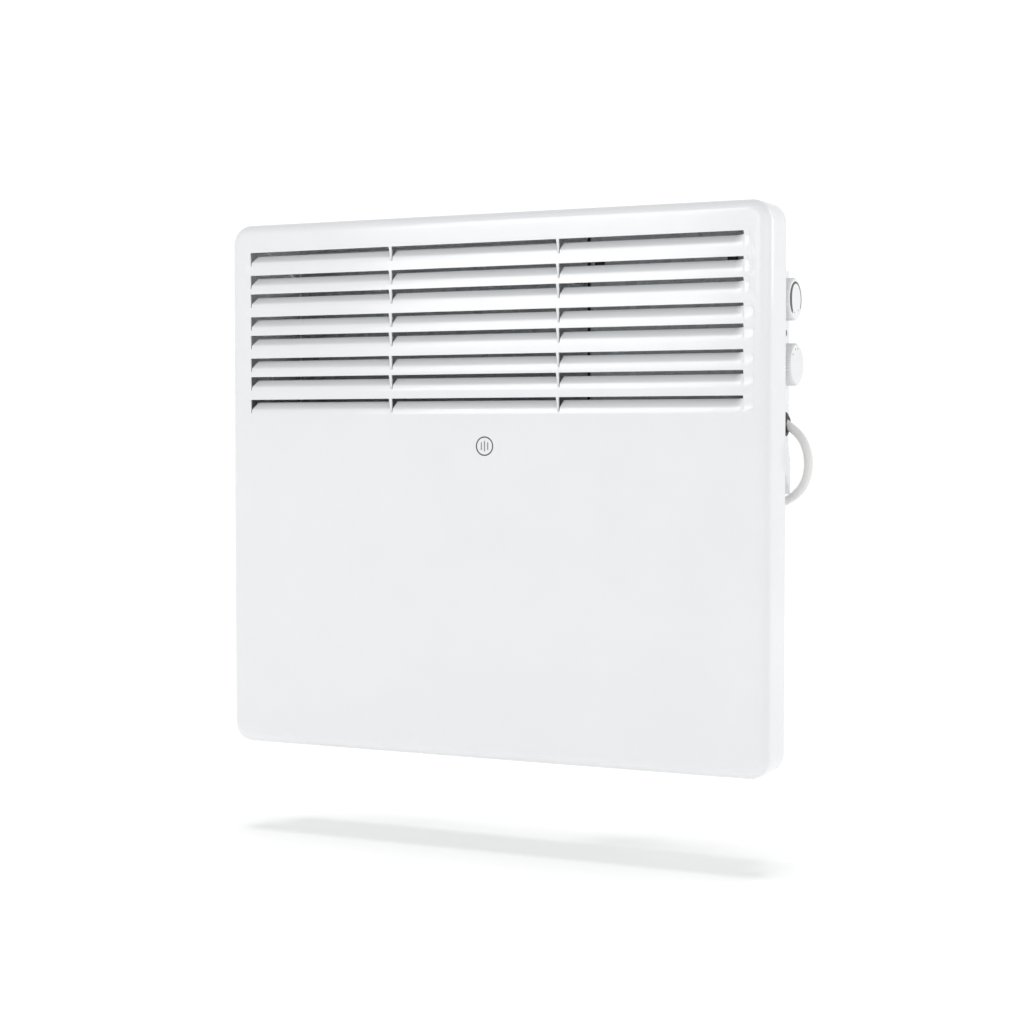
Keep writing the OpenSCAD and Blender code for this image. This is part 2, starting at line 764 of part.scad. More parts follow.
module gland_nut() {
    color(black) translate([box_in - 5, lamp_y, gland_z]) rotate([0, 90, 0]) difference() {
        cylinder(h = 5, r = 9.5, $fn = 6);
        translate([0, 0, -1]) cylinder(h = 7, r = 6.5);
    }
}

module cord_inner() {
    color(white) rod_x(box_x - 38, box_x + gland_out, cord_r, lamp_y, gland_z);
}

module power_cord() {
    color(white) sweep(cord_route, cord_r, 12, [0, 1, 0]);
}

module cord_tail() {
    color(white) sweep(tail_route, cord_r, 12, [0, 1, 0]);
}

module cord_coil() {
    color(white) translate([coil_x, coil_y, coil_z]) rotate([90, 0, 0]) rotate_extrude($fn = 64)
        translate([coil_r, 0]) polygon(round_rect(coil_side, coil_deep, cord_r, 4));
}

module cord_tie() {
    tie_t = 0.9;
    room = 0.25;
    color(black) translate([coil_x, coil_y, coil_z]) rotate([90, 0, 0])
        rotate([0, 0, -95]) rotate_extrude(angle = 10, $fn = 64) translate([coil_r, 0])
            difference() {
                polygon(round_rect(coil_side + 2 * (room + tie_t),
                                   coil_deep + 2 * (room + tie_t), cord_r + room + tie_t, 4));
                polygon(round_rect(coil_side + 2 * room, coil_deep + 2 * room,
                                   cord_r + room, 4));
            }
}

module plug_sleeve() {
    color(white) translate([plug_x, plug_y, plug_top - sleeve_h])
        cylinder(h = sleeve_h, r1 = 6.5, r2 = 4);
}

module plug_body() {
    top = plug_top - sleeve_h;
    color(white) translate([plug_x, plug_y, top - plug_h]) difference() {
        union() {
            cylinder(h = 16, r = 18);
            translate([0, 0, 15.9]) cylinder(h = 18, r1 = 17, r2 = 11);
            translate([0, 0, 33.8]) cylinder(h = 8.2, r = 9);
        }
        for (s = [-1, 1]) translate([s * 9.5, 0, -1]) cylinder(h = 9, r = 2.4);
        translate([0, 9.5, -1]) cylinder(h = 17, r = 2.5);
        for (s = [-1, 1]) translate([s * 18, 0, -1]) translate([-2, -3, 0]) cube([4, 6, 14]);
    }
}

module plug_pins() {
    top = plug_top - sleeve_h - plug_h;
    color(steel) for (s = [-1, 1]) translate([plug_x + s * 9.5, plug_y, top - 19])
        cylinder(h = 27, r = 2.4);
}

// ---------- wiring inside ----------

module terminal_block() {
    color(white) difference() {
        union() {
            block([118, 160], [-86, -70], [30, 50]);
            block([122, 156], [-70, back_y - case_t], [34, 38]);
        }
        for (x = [126 : 8 : 158]) rod_y(-88, -80, 2, x, 40);
    }
}

module terminal_screws() {
    color(brass) for (x = [126 : 8 : 158]) rod_y(-82.5, -80, 1.8, x, 40);
}

module earth_screw() {
    color(brass) {
        rod_y(back_y - case_t - 2.4, back_y - case_t, 4, 118, 44);
        rod_y(back_y - case_t - 4.2, back_y - case_t - 2.3, 3, 118, 44);
    }
}

module wire_grommet() {
    color(black) for (p = [[-80, 40], [-84, -120]]) difference() {
        union() {
            rod_x(part_x - 1.5, part_x + part_t + 1.5, 5.9, p[0], p[1]);
            rod_x(part_x - 1.5, part_x, 7.5, p[0], p[1]);
            rod_x(part_x + part_t, part_x + part_t + 1.5, 7.5, p[0], p[1]);
        }
        rod_x(part_x - 3, part_x + part_t + 3, 4, p[0], p[1]);
    }
}

module inner_wires() {
    color(white) for (r = [live_route, neutral_route, earth_route, link_route, cutout_route,
                           return_route, motor_route]) sweep(r, wire_r, 8, [0.2, 1, 0.1]);
}

// ---------- wall bracket ----------

module wall_bracket() {
    half_z = 130;
    color(white) difference() {
        union() {
            for (s = [-1, 1]) {
                block([s * wall_holes_x / 2 - strip_w / 2, s * wall_holes_x / 2 + strip_w / 2],
                      [-bracket_sheet, 0], [-half_z, half_z]);
                block([-wall_holes_x / 2, wall_holes_x / 2], [-bracket_sheet, 0],
                      [s * 72 - 10, s * 72 + 10]);
            }
            for (sx = [-1, 1], sz = [-1, 1]) {
                block([sx * arm_x, sx * (arm_x - bracket_sheet)], [back_y, 0],
                      [sz * lock_z - 15, sz * lock_z + 15]);
                block([sx * arm_x, sx * (arm_x - 18)], [back_y, back_y + bracket_sheet],
                      [sz * lock_z - 15, sz * lock_z + 15]);
            }
            // Peg that holds the coil of spare cord
            rod_y(-25, -0.5, peg_r, coil_x, peg_z);
            rod_y(-27, -24.8, peg_r + 3, coil_x, peg_z);
        }
        for (sx = [-1, 1], sz = [-1, 1]) {
            rod_y(-3, 1, wall_hole_r, sx * wall_holes_x / 2, sz * wall_holes_z / 2);
            rod_y(back_y - 1, back_y + 3, 2.2, sx * lock_x, sz * lock_z);
        }
    }
}

module lock_screws() {
    color(steel) for (sx = [-1, 1], sz = [-1, 1]) {
        rod_y(back_y - 6, back_y + bracket_sheet + 0.2, 2, sx * lock_x, sz * lock_z);
        rod_y(back_y + bracket_sheet, back_y + bracket_sheet + 2.4, 4, sx * lock_x, sz * lock_z);
    }
}

front_cover();
rear_case();
cover_screws();
partition();
partition_seal();
control_shield();
shield_clips();
reflector();
element_body();
element_core();
element_bushes();
element_bracket_left();
element_bracket_right();
thermal_cutout();
cutout_bracket();
limiter_body();
limiter_capillary();
capillary_clips();
fan_scroll();
fan_tongue();
fan_end_left();
fan_end_right();
fan_bearing();
fan_wheel();
motor_shaft();
motor_rotor();
motor_stack();
motor_coil();
motor_bridge_left();
motor_bridge_right();
motor_bolts();
thermostat_body();
thermostat_bulb();
thermostat_spindle();
thermostat_knob();
selector_body();
selector_spindle();
selector_knob();
control_screws();
pilot_lamp();
pilot_lens();
cable_gland();
gland_nut();
cord_inner();
power_cord();
cord_coil();
cord_tail();
cord_tie();
plug_sleeve();
plug_body();
plug_pins();
terminal_block();
terminal_screws();
earth_screw();
wire_grommet();
inner_wires();
wall_bracket();
lock_screws();
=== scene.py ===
"""Looks of a wall-hung panel convector heater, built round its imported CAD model. Metres throughout."""

import math

import bpy
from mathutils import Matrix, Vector


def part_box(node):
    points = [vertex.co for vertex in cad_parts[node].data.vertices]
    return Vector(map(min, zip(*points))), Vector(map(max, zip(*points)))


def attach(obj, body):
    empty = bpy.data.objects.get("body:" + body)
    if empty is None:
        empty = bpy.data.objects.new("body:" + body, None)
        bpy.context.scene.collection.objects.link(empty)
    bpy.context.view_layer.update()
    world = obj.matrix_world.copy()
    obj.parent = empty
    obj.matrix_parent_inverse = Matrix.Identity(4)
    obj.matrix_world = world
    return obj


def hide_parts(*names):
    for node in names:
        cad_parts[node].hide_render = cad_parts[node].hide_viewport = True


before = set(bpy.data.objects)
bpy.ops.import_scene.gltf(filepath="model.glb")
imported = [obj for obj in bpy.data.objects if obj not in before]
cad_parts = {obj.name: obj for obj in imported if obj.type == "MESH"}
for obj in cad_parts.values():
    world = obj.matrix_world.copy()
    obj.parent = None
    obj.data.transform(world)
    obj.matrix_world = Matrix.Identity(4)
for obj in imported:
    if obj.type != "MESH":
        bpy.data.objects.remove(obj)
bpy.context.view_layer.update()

MM = 0.001

# ---------- sizes, read from the frame ----------

cover_low, cover_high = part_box("front_cover")
FACE_Y = cover_low.y
COVER_DEPTH = cover_high.y - cover_low.y
HALF_W = cover_high.x
HALF_H = cover_high.z

# Press work of the front cover
CORNER_R = 15 * MM
EDGE_ROLL = 8 * MM
SHEET = 1.2 * MM
LOUVRE_TOP = 178.4 * MM
PAIR_PITCH = 31.8 * MM
PAIR_STEP = 17.5 * MM
PAIRS = 4
FIELD_HALF = 201.5 * MM
COLUMNS = [(-FIELD_HALF, -78.8 * MM), (-76.4 * MM, 59.2 * MM), (61.4 * MM, FIELD_HALF)]
GAP_WIDE = 2.6 * MM
GAP_NARROW = 2.1 * MM
BLADE_IN = 6 * MM
BLADE_H = 10.4 * MM
BLADE_FOOT = math.tan(math.radians(12))
BEND_FROM = 1.6 * MM
BEND_OVER = 2.4 * MM
STRIP_LEAN = math.tan(math.radians(3.0))
LAST_STRIP = 3.5 * MM

ROWS = [LOUVRE_TOP - pair * PAIR_PITCH - second * PAIR_STEP
        for pair in range(PAIRS) for second in (0, 1)]
GAPS = [GAP_NARROW if second else GAP_WIDE for pair in range(PAIRS) for second in (0, 1)]

# The cord's way from the gland, round the body's side and into the gap behind it
CORD_D = 6.2 * MM
CORD_ROUTE = [
    (0.213, -0.059, 0.046), (0.217, -0.059, 0.043), (0.221, -0.059, 0.0395),
    (0.2245, -0.059, 0.0352), (0.227, -0.059, 0.030), (0.2284, -0.0583, 0.024),
    (0.2283, -0.0564, 0.0178), (0.2267, -0.0532, 0.0118), (0.2237, -0.049, 0.0062),
    (0.2195, -0.044, 0.0012), (0.214, -0.0386, -0.0032), (0.2075, -0.0332, -0.007),
    (0.200, -0.0282, -0.010), (0.1915, -0.0238, -0.0119), (0.1825, -0.0209, -0.0125),
    (0.173, -0.0191, -0.0118), (0.1635, -0.0179, -0.010), (0.1535, -0.0173, -0.0075),
    (0.1425, -0.0171, -0.0046), (0.131, -0.0171, -0.0014)]
TAIL_ROUTE = [
    (0.0798, -0.0109, -0.040), (0.0796, -0.0114, -0.047), (0.0784, -0.0132, -0.054),
    (0.0759, -0.0158, -0.061), (0.0724, -0.0184, -0.0675), (0.0695, -0.0203, -0.073),
    (0.068, -0.021, -0.077), (0.068, -0.021, -0.080)]
COIL_CENTRE = (0.120, -0.014, -0.040)
COIL_R = 34 * MM
POINTS_PER_TURN = 26
LANE_CHANGE_AT = math.radians(110)
LANE_CHANGE_OVER = math.radians(60)


# ---------- small helpers ----------

def smooth(t):
    """0 below 0, 1 above 1, and a smooth rise between."""
    t = min(max(t, 0.0), 1.0)
    return t * t * (3 - 2 * t)


def spread(low, high, step):
    """Evenly spaced values from low to high, at most step apart."""
    count = max(1, math.ceil((high - low) / step - 1e-6))
    return [low + (high - low) * k / count for k in range(count + 1)]


def tidy_lines(values):
    """The values in order, without near duplicates."""
    lines = []
    for value in sorted(values):
        if not lines or value - lines[-1] > 1e-6:
            lines.append(value)
    return lines


def mesh_object(name, points, faces, smooth_faces=True):
    mesh = bpy.data.meshes.new(name)
    mesh.from_pydata([tuple(p) for p in points], [], faces)
    mesh.validate()
    for polygon in mesh.polygons:
        polygon.use_smooth = smooth_faces
    piece = bpy.data.objects.new(name, mesh)
    bpy.context.scene.collection.objects.link(piece)
    return piece


def paint(piece, material):
    """Every slot of the piece gets the material."""
    if not piece.material_slots:
        piece.data.materials.append(material)
    for place in piece.material_slots:
        place.material = material


# ---------- camera ----------

# Fitted to the outline, the edge lines, the knobs and the louvre ends in the photograph
CAMERA_LENS = 73.87
CAMERA_PLACE = (0.7088, FACE_Y - 1.361, 0.0377)
CAMERA_DOWN = 2.075
CAMERA_TURN = 26.705

camera_data = bpy.data.cameras.new("camera")
camera_data.lens = CAMERA_LENS
camera_data.sensor_width = 36
camera = bpy.data.objects.new("camera", camera_data)
camera.location = CAMERA_PLACE
camera.rotation_euler = (math.radians(90 - CAMERA_DOWN), 0, math.radians(CAMERA_TURN))
bpy.context.scene.collection.objects.link(camera)
bpy.context.scene.camera = camera


# ---------- materials ----------

class Shader:
    """A node material with the links that every finish here needs."""

    def __init__(self, name):
        self.material = bpy.data.materials.new(name)
        self.material.use_nodes = True
        self.nodes = self.material.node_tree.nodes
        self.links = self.material.node_tree.links
        self.surface = self.nodes["Principled BSDF"]
        self.place = self.nodes.new("ShaderNodeTexCoord").outputs["Object"]

    def set(self, **values):
        for name, value in values.items():
            self.surface.inputs[name.replace("_", " ")].default_value = value

    def join(self, source, target):
        self.links.new(source, target)

    def noise(self, size, detail=3.0, rough=0.5, stretch=(1, 1, 1)):
        """Noise whose features are about size across. Its output runs from 0 to 1."""
        mapping = self.nodes.new("ShaderNodeMapping")
        mapping.inputs["Scale"].default_value = stretch
        self.join(self.place, mapping.inputs["Vector"])
        texture = self.nodes.new("ShaderNodeTexNoise")
        texture.inputs["Scale"].default_value = 1 / size
        texture.inputs["Detail"].default_value = detail
        texture.inputs["Roughness"].default_value = rough
        self.join(mapping.outputs["Vector"], texture.inputs["Vector"])
        return texture.outputs["Fac"]

    def cells(self, size):
        """A random grey for each crystal, about size across."""
        texture = self.nodes.new("ShaderNodeTexVoronoi")
        texture.inputs["Scale"].default_value = 1 / size
        self.join(self.place, texture.inputs["Vector"])
        split = self.nodes.new("ShaderNodeSeparateColor")
        self.join(texture.outputs["Color"], split.inputs["Color"])
        return split.outputs["Red"]

    def ramp(self, value, first, second, low=0.3, high=0.7):
        """The colour first where value is low, second where it is high."""
        ramp = self.nodes.new("ShaderNodeValToRGB")
        for element, at, colour in zip(ramp.color_ramp.elements, (low, high), (first, second)):
            element.position = at
            element.color = (*colour, 1)
        self.join(value, ramp.inputs["Fac"])
        return ramp.outputs["Color"]

    def between(self, value, first, second):
        """The number first where value is 0.3, second where it is 0.7."""
        span = self.nodes.new("ShaderNodeMapRange")
        span.inputs["From Min"].default_value = 0.3
        span.inputs["From Max"].default_value = 0.7
        span.inputs["To Min"].default_value = first
        span.inputs["To Max"].default_value = second
        self.join(value, span.inputs["Value"])
        return span.outputs["Result"]

    def bump(self, height, depth):
        bump = self.nodes.new("ShaderNodeBump")
        bump.inputs["Strength"].default_value = 1.0
        bump.inputs["Distance"].default_value = depth
        self.join(height, bump.inputs["Height"])
        self.join(bump.outputs["Normal"], self.surface.inputs["Normal"])


def finish(name, first, second, tone_size, rough, grain, grain_depth, **extra):
    """A finish with a slow change of tone, a finer change of gloss and a fine bump."""
    shader = Shader(name)
    shader.set(Metallic=0.0, **extra)
    shader.join(shader.ramp(shader.noise(tone_size), first, second),
                shader.surface.inputs["Base Color"])
    shader.join(shader.between(shader.noise(tone_size / 3), *rough),
                shader.surface.inputs["Roughness"])
    shader.bump(shader.noise(grain, detail=2.0), grain_depth)
    return shader.material


def galvanised(name, first, second):
    """Zinc-coated sheet with its spangle."""
    shader = Shader(name)
    shader.set(Metallic=0.85)
    cell = shader.cells(5 * MM)
    shader.join(shader.ramp(cell, first, second, 0.1, 0.9), shader.surface.inputs["Base Color"])
    shader.join(shader.between(cell, 0.42, 0.6), shader.surface.inputs["Roughness"])
    shader.bump(shader.noise(1.5 * MM), 0.02 * MM)
    return shader.material


def brushed(name, first, second, stretch, rough):
    """Drawn or rolled metal with fine lines across the stretch."""
    shader = Shader(name)
    shader.set(Metallic=1.0)
    lines = shader.noise(0.4 * MM, detail=4.0, stretch=stretch)
    shader.join(shader.ramp(lines, first, second), shader.surface.inputs["Base Color"])
    shader.join(shader.between(lines, *rough), shader.surface.inputs["Roughness"])
    shader.bump(lines, 0.01 * MM)
    return shader.material


WHITE_PAINT = finish("white_enamel", (0.795, 0.806, 0.815), (0.81, 0.82, 0.829), 60 * MM,
                     (0.10, 0.16), 2.2 * MM, 0.004 * MM, IOR=1.5)
CASE_PAINT = finish("case_enamel", (0.79, 0.80, 0.808), (0.81, 0.82, 0.829), 45 * MM,
                    (0.22, 0.32), 1.4 * MM, 0.01 * MM, IOR=1.5)
ZINC = galvanised("zinc_sheet", (0.30, 0.315, 0.33), (0.44, 0.455, 0.47))
STEEL = brushed("plain_steel", (0.48, 0.48, 0.47), (0.6, 0.6, 0.59), (1, 1, 8), (0.28, 0.42))
ALUMINIUM = brushed("aluminium", (0.62, 0.63, 0.64), (0.74, 0.75, 0.76), (0.2, 4, 4), (0.3, 0.45))
BRASS = brushed("brass", (0.62, 0.47, 0.2), (0.75, 0.6, 0.3), (3, 3, 3), (0.25, 0.4))
COPPER = brushed("copper", (0.6, 0.3, 0.17), (0.72, 0.4, 0.26), (3, 3, 3), (0.3, 0.45))
BLACK_PLASTIC = finish("black_plastic", (0.012, 0.012, 0.013), (0.022, 0.022, 0.023), 12 * MM,
                       (0.38, 0.5), 0.5 * MM, 0.015 * MM, Specular_IOR_Level=0.25)
WHITE_PLASTIC = finish("white_plastic", (0.78, 0.785, 0.785), (0.80, 0.805, 0.805), 15 * MM,
                       (0.30, 0.38), 0.35 * MM, 0.006 * MM)
FOAM = finish("black_foam", (0.006, 0.006, 0.006), (0.014, 0.014, 0.014), 4 * MM,
              (0.85, 0.95), 1.2 * MM, 0.3 * MM)
SHEATH = finish("cord_sheath", (0.74, 0.735, 0.72), (0.78, 0.775, 0.76), 25 * MM,
                (0.38, 0.5), 0.8 * MM, 0.02 * MM)
WIRE = finish("wire_sleeve", (0.72, 0.72, 0.7), (0.8, 0.8, 0.78), 9 * MM,
              (0.4, 0.5), 0.6 * MM, 0.03 * MM)
CERAMIC = finish("ceramic", (0.72, 0.68, 0.6), (0.8, 0.76, 0.68), 5 * MM,
                 (0.5, 0.62), 0.5 * MM, 0.02 * MM)
LAMP_BODY = finish("lamp_body", (0.02, 0.015, 0.013), (0.032, 0.024, 0.02), 6 * MM,
                   (0.35, 0.45), 0.6 * MM, 0.01 * MM)
LAMP_LENS = finish("lamp_lens", (0.012, 0.008, 0.008), (0.02, 0.011, 0.01), 2 * MM,
                   (0.08, 0.16), 0.9 * MM, 0.01 * MM, Coat_Weight=0.6)
INK = finish("ink", (0.015, 0.015, 0.016), (0.03, 0.03, 0.031), 2 * MM,
             (0.35, 0.5), 0.3 * MM, 0.003 * MM)
GREY_INK = finish("grey_ink", (0.2, 0.2, 0.21), (0.26, 0.26, 0.27), 2 * MM,
                  (0.35, 0.5), 0.3 * MM, 0.003 * MM)

NODE_FINISH = {
    WHITE_PAINT: ["front_cover"],
    CASE_PAINT: ["rear_case", "wall_bracket"],
    ZINC: ["partition", "control_shield", "reflector", "element_bracket_left",
           "element_bracket_right", "cutout_bracket", "fan_scroll", "fan_tongue",
           "fan_end_left", "fan_end_right"],
    STEEL: ["cover_screws", "element_core", "motor_shaft", "motor_rotor", "motor_stack",
            "motor_bridge_left", "motor_bridge_right", "motor_bolts", "thermostat_spindle",
            "selector_spindle", "control_screws", "lock_screws", "plug_pins"],
    ALUMINIUM: ["element_body", "fan_wheel"],
    BRASS: ["terminal_screws", "earth_screw"],
    COPPER: ["thermostat_bulb", "motor_coil"],
    BLACK_PLASTIC: ["shield_clips", "thermal_cutout", "limiter_body", "fan_bearing",
                    "thermostat_body", "selector_body", "cable_gland", "gland_nut", "cord_tie",
                    "wire_grommet"],
    WHITE_PLASTIC: ["thermostat_knob", "selector_knob", "terminal_block", "capillary_clips",
                    "plug_body", "plug_sleeve"],
    FOAM: ["partition_seal"],
    SHEATH: ["power_cord", "cord_coil", "cord_tail", "cord_inner"],
    WIRE: ["inner_wires", "limiter_capillary"],
    CERAMIC: ["element_bushes"],
    LAMP_BODY: ["pilot_lamp"],
    LAMP_LENS: ["pilot_lens"],
}
for finish_of_nodes, names in NODE_FINISH.items():
    for node_name in names:
        paint(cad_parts[node_name], finish_of_nodes)


# ---------- power cord ----------

def coil_points():
    """The stored turns: inwards in the front layer, then outwards in the back one."""
    lanes = [(COIL_R + CORD_D, -CORD_D / 2), (COIL_R, -CORD_D / 2), (COIL_R - CORD_D, -CORD_D / 2),
             (COIL_R - CORD_D, CORD_D / 2), (COIL_R, CORD_D / 2), (COIL_R + CORD_D, CORD_D / 2)]
    turn = 2 * math.pi
    start = math.atan2(CORD_ROUTE[-1][2] - COIL_CENTRE[2], CORD_ROUTE[-1][0] - COIL_CENTRE[0])
    stop = math.pi + turn * (len(lanes) - 1)
    steps = POINTS_PER_TURN * (len(lanes) - 1)
    points = []
    for k in range(1, steps):
        angle = start + (stop - start) * k / steps
        lane = sum(smooth((angle - LANE_CHANGE_AT - n * turn) / LANE_CHANGE_OVER)
                   for n in range(len(lanes) - 1))
        inner = min(int(lane), len(lanes) - 2)
        radius, layer = (a + (b - a) * (lane - inner) for a, b in zip(lanes[inner], lanes[inner + 1]))
        points.append((COIL_CENTRE[0] + radius * math.cos(angle),
                       COIL_CENTRE[1] + layer,
                       COIL_CENTRE[2] + radius * math.sin(angle)))
    return points


def cord_curve(name, points, diameter):
    """A round flexible cord through the points, as one smooth open spline."""
    data = bpy.data.curves.new(name, "CURVE")
    data.dimensions = "3D"
    data.bevel_depth = diameter / 2
    data.bevel_resolution = 5
    data.resolution_u = 6
    data.use_fill_caps = True
    spline = data.splines.new("BEZIER")
    spline.bezier_points.add(len(points) - 1)
    for knot, point in zip(spline.bezier_points, points):
        knot.co = point
        knot.handle_left_type = "AUTO"
        knot.handle_right_type = "AUTO"
    piece = bpy.data.objects.new(name, data)
    bpy.context.scene.collection.objects.link(piece)
    return piece


cord_line = CORD_ROUTE + coil_points() + TAIL_ROUTE
flex = cord_curve("mains_cord", cord_line, CORD_D)
paint(flex, SHEATH)
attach(flex, "heater")
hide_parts("power_cord", "cord_coil", "cord_tail")


# ---------- front cover ----------

FLAT_W = HALF_W - EDGE_ROLL
FLAT_H = HALF_H - EDGE_ROLL
FLAT_R = CORNER_R - EDGE_ROLL
OPEN_END = 0.6 * MM
# How far the left blade ends are cut back at the top in each column, from this height up
# and over this reach sideways
END_CUTS = [2.6 * MM, 0.8 * MM, 0.8 * MM]
CUT_FROM = 3 * MM
CUT_REACH = 6 * MM
# The open crack left of each web, and how far the web's left side slants along a blade
WEB_CRACK = 0.4 * MM
WEB_SLANT = 1.9 * MM
END_DRAW = 8 * MM
# The distance from the middle where the strips' lean has ended, and the width of its fade
LEFT_FADE = (206.5 * MM, 5 * MM)
RIGHT_FADE = (209.9 * MM, 1.5 * MM)
# D-shaped patches at the closed blade ends: short ones above this height, long ones below
PATCH_SLOPE = math.tan(math.radians(2.2))
PATCH_SHORT = 4.5 * MM
PATCH_LONG = 8 * MM
PATCH_CHANGE = 132 * MM
ROLL_STEPS = 8


def bend_share(up):
    """The height that counts for the blade's steep part, growing from nothing round the bend."""
    t = max(0.0, (up - BEND_FROM) / BEND_OVER)
    return BEND_OVER * (t ** 3 - t ** 4 / 2 if t < 1 else t - 0.5)


def blade_depth(up, rise):
    """How far the blade lies behind the sheet, this far above its lower edge."""
    steep = (BLADE_IN - BLADE_FOOT * rise) / bend_share(rise)
    return BLADE_FOOT * up + steep * bend_share(up)


def strip_foot(row):
    """The height where the strip below this row ends."""
    if row + 1 < len(ROWS):
        return ROWS[row + 1]
    return ROWS[row] - BLADE_H - LAST_STRIP


def lean(z):
    """The strips between the rows lean back a little towards their upper edges."""
    for row, top in enumerate(ROWS):
        foot, edge = strip_foot(row), top - BLADE_H
        if foot <= z <= top:
            full = STRIP_LEAN * (edge - foot)
            if z > edge:
                return full * smooth((top - z) / BLADE_H)
            return full * (z - foot) / (edge - foot)
    return 0.0


def end_patch(x, z):
    """The depth of the D-shaped patch beside a closed blade end, or None away from one."""
    widest = PATCH_SHORT if z > PATCH_CHANGE else PATCH_LONG
    for row, top in enumerate(ROWS):
        off_middle = (z - top + BLADE_H / 2) / (BLADE_H / 2)
        if abs(off_middle) < 1:
            reach = widest * math.sqrt(1 - off_middle ** 2) - (x - FIELD_HALF)
            if reach > 0:
                return STRIP_LEAN * (z - strip_foot(row)) + PATCH_SLOPE * reach
    return None


def sheet_depth(x, z):
    """How far the sheet lies behind the plane of the face, away from the blades."""
    end, fade = RIGHT_FADE if x > 0 else LEFT_FADE
    patch = end_patch(x, z) if x > FIELD_HALF - 1e-6 else None
    return smooth((end - abs(x)) / fade) * lean(z) if patch is None else patch


def slanted(x, z, column):
    """The place in X of a point of this column, with the web beside its right end slanted."""
    row = next((r for r in range(len(ROWS)) if strip_foot(r) - 1e-6 <= z <= ROWS[r] + 1e-6), None)
    if row is None or column == len(COLUMNS) - 1 or x < COLUMNS[column][1] - WEB_CRACK - 1e-6:
        return x
    edge, foot = ROWS[row] - BLADE_H, strip_foot(row)
    share = (ROWS[row] - z) / BLADE_H if z > edge else (z - foot) / (edge - foot)
    return x + WEB_SLANT * share


def end_cut(x, up, rise, column):
    """How far the blade's open left end is cut back here."""
    start = COLUMNS[column][0] + OPEN_END
    across = 1 - (x - start) / (CUT_REACH - OPEN_END)
    along = (up - CUT_FROM) / (rise - CUT_FROM)
    return END_CUTS[column] * max(0.0, across) * max(0.0, along)


def corner_angle(x, z):
    """The direction, from the nearest corner's centre, of a point in the square corner."""
    u = (abs(x) - FLAT_W + FLAT_R) / FLAT_R
    v = (abs(z) - FLAT_H + FLAT_R) / FLAT_R
    if v <= 0:
        return 0.0, max(u, 0.0)
    if u <= 0:
        return math.pi / 2, v
    return (math.pi / 4 * v / u, u) if u >= v else (math.pi / 2 - math.pi / 4 * u / v, v)


def rounded(x, z):
    """Moves a point of the square grid so that the flat face gets round corners."""
    angle, reach = corner_angle(x, z)
    if abs(x) <= FLAT_W - FLAT_R or abs(z) <= FLAT_H - FLAT_R:
        return x, z
    return (math.copysign(FLAT_W - FLAT_R + FLAT_R * reach * math.cos(angle), x),
            math.copysign(FLAT_H - FLAT_R + FLAT_R * reach * math.sin(angle), z))


def face_lines():
    """The grid lines of the face, close together only where the sheet bends."""
    across = spread(FLAT_W - FLAT_R, FLAT_W, 2 * MM)
    columns = [v for line in across for v in (-line, line)]
    for left, right in COLUMNS:
        columns += spread(left, left + 6 * MM, 2 * MM) + spread(left + 6 * MM, right, 6 * MM)
        columns.append(left + OPEN_END)
        columns.append(right - WEB_CRACK)
    columns += spread(FIELD_HALF - END_DRAW, FIELD_HALF, 1 * MM)
    columns += spread(FIELD_HALF, FIELD_HALF + PATCH_LONG, 1 * MM)
    columns += spread(RIGHT_FADE[0] - RIGHT_FADE[1], RIGHT_FADE[0], 0.5 * MM)
    up = [v for line in spread(FLAT_H - FLAT_R, FLAT_H, 2 * MM) for v in (-line, line)]
    up += spread(ROWS[0], FLAT_H - FLAT_R, 3 * MM)
    up += spread(-FLAT_H + FLAT_R, strip_foot(len(ROWS) - 1), 8 * MM)
    for row, top in enumerate(ROWS):
        rise = BLADE_H - GAPS[row]
        edge = top - BLADE_H
        up += spread(edge, edge + BEND_FROM, 0.8 * MM)
        up += spread(edge + BEND_FROM, edge + BEND_FROM + BEND_OVER, 0.4 * MM)
        up += spread(edge + BEND_FROM + BEND_OVER, edge + rise, 1.3 * MM)
        up += [top] + spread(strip_foot(row), edge, 2 * MM)
    return tidy_lines(columns), tidy_lines(up)


